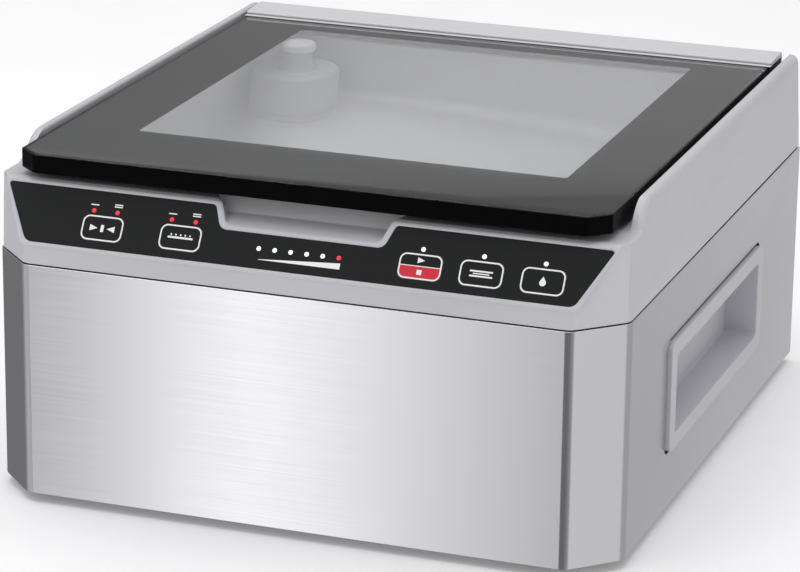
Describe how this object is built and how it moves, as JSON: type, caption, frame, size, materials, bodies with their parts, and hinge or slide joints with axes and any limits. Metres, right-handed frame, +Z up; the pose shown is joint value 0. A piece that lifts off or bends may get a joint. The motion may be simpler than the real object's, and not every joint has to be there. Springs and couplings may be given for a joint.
{
  "type": "chamber vacuum packing machine",
  "caption": "Tabletop chamber vacuum sealer: brushed steel shell, silver casing with sloped key panel, hinged glass lid over a deep chamber with sealing bar, recessed side grips.",
  "frame": {"origin": "centre of the footprint, on the surface that the rubber feet stand on", "axes": "+X to the right seen from the front, +Y to the rear, +Z up"},
  "size_m": [0.406, 0.433, 0.2197],
  "materials": {
    "brushed_steel": "horizontal brushed grain",
    "back_sheet": "plain rolled sheet",
    "base_sheet": "galvanised grey",
    "rubber_black": "matt",
    "zinc_screw": "zinc plated",
    "aluminium_part": "extruded, satin",
    "cast_aluminium": "cast, matt",
    "silver_plastic": "silver-grey moulded, fine satin texture",
    "cover_plastic": "light silver, satin",
    "chamber_steel": "deep drawn, satin",
    "light_grey_plastic": "satin",
    "white_plastic": "glossy",
    "heating_wire": "flat nickel-chrome band",
    "ptfe_tape": "coated glass cloth",
    "black_plastic": "satin black",
    "black_gloss": "glossy black",
    "black_print": "opaque print behind glass",
    "clear_glass": "tempered, polished bevel",
    "silicone_red": "silicone",
    "membrane_dark": "printed polyester overlay",
    "lens_red": "lit red lens",
    "lens_white": "lit white lens",
    "circuit_green": "solder mask",
    "motor_paint": "dark enamel",
    "core_steel": "laminated, varnished",
    "coil_tape": "yellow insulation tape",
    "hose_silicone": "translucent silicone"
  },
  "bodies": {
    "base": {"steel_wrap": "brushed_steel", "back_panel": "back_sheet", "base_plate": "base_sheet", "rubber_feet": "rubber_black", "foot_screws": "zinc_screw", "back_screws": "zinc_screw", "support_posts": "aluminium_part", "top_casing": "silver_plastic", "vacuum_chamber": "chamber_steel", "filter_housing": "light_grey_plastic", "suction_neck": "light_grey_plastic", "suction_cap": "white_plastic", "lift_cylinders": "black_plastic", "bar_guides": "black_plastic", "reed_sensor": "black_plastic", "hinge_pins": "zinc_screw", "hinge_brackets": "zinc_screw", "lid_springs": "zinc_screw", "control_membrane": "membrane_dark", "red_lenses": "lens_red", "white_lenses": "lens_white", "control_board": "circuit_green", "tact_switches": "black_plastic", "grip_left": "silver_plastic", "grip_right": "silver_plastic", "grip_gaskets": "rubber_black", "pump_bracket": "base_sheet", "pump_mounts": "rubber_black", "pump_motor": "motor_paint", "pump_crankcase": "cast_aluminium", "pump_heads": "cast_aluminium", "transformer_core": "core_steel", "transformer_coil": "coil_tape", "power_board": "circuit_green", "valve_block": "aluminium_part", "valve_coils": "black_plastic", "vacuum_hoses": "hose_silicone", "fan_frame": "black_plastic", "mains_inlet": "black_plastic", "switch_housing": "black_plastic"},
    "lid": {"lid_glass": "clear_glass", "border_print": "black_print", "lid_frame": "black_gloss", "lid_gasket": "rubber_black", "seal_strip": "silicone_red", "lid_magnet": "zinc_screw", "hinge_cover": "cover_plastic", "hinge_arms": "zinc_screw"},
    "sealing_bar": {"seal_bar": "aluminium_part", "heating_wires": "heating_wire", "ptfe_strip": "ptfe_tape", "lift_pistons": "zinc_screw"},
    "vacuum_key": {"key_vacuum": "membrane_dark"},
    "sealing_key": {"key_sealing": "membrane_dark"},
    "auto_cancel_key": {"key_auto_cancel": "membrane_dark"},
    "seal_key": {"key_seal": "membrane_dark"},
    "marinate_key": {"key_marinate": "membrane_dark"},
    "pump_rotor": {"pump_fan_wheel": "black_plastic"},
    "cooling_fan": {"fan_rotor": "black_plastic"},
    "power_rocker": {"rocker_switch": "black_plastic"}
  },
  "joints": [
    {"name": "lid_hinge", "type": "hinge", "parent": "base", "child": "lid", "pos_m": [0, 0.2, 0.204], "axis": [-1, 0, 0], "range_deg": [0, 65]},
    {"name": "seal_bar_lift", "type": "slide", "parent": "base", "child": "sealing_bar", "axis": [0, 0, 1], "range_m": [0, 0.008], "stiffness_N_per_m": 400, "springref_m": -0.01},
    {"name": "vacuum_key_press", "type": "slide", "parent": "base", "child": "vacuum_key", "axis": [0, 0.848, -0.5299], "range_m": [0, 0.0005], "stiffness_N_per_m": 1500, "springref_m": -0.0006},
    {"name": "sealing_key_press", "type": "slide", "parent": "base", "child": "sealing_key", "axis": [0, 0.848, -0.5299], "range_m": [0, 0.0005], "stiffness_N_per_m": 1500, "springref_m": -0.0006},
    {"name": "auto_cancel_key_press", "type": "slide", "parent": "base", "child": "auto_cancel_key", "axis": [0, 0.848, -0.5299], "range_m": [0, 0.0005], "stiffness_N_per_m": 1500, "springref_m": -0.0006},
    {"name": "seal_key_press", "type": "slide", "parent": "base", "child": "seal_key", "axis": [0, 0.848, -0.5299], "range_m": [0, 0.0005], "stiffness_N_per_m": 1500, "springref_m": -0.0006},
    {"name": "marinate_key_press", "type": "slide", "parent": "base", "child": "marinate_key", "axis": [0, 0.848, -0.5299], "range_m": [0, 0.0005], "stiffness_N_per_m": 1500, "springref_m": -0.0006},
    {"name": "power_rocker_tilt", "type": "hinge", "parent": "base", "child": "power_rocker", "pos_m": [-0.06, 0.2085, 0.04], "axis": [-1, 0, 0], "range_deg": [0, 18]},
    {"name": "pump_spin", "type": "hinge", "parent": "base", "child": "pump_rotor", "pos_m": [-0.075, -0.03, 0.062], "axis": [0, 1, 0], "continuous": true},
    {"name": "fan_spin", "type": "hinge", "parent": "base", "child": "cooling_fan", "pos_m": [0.08, 0.2, 0.074], "axis": [0, 1, 0], "continuous": true}
  ]
}
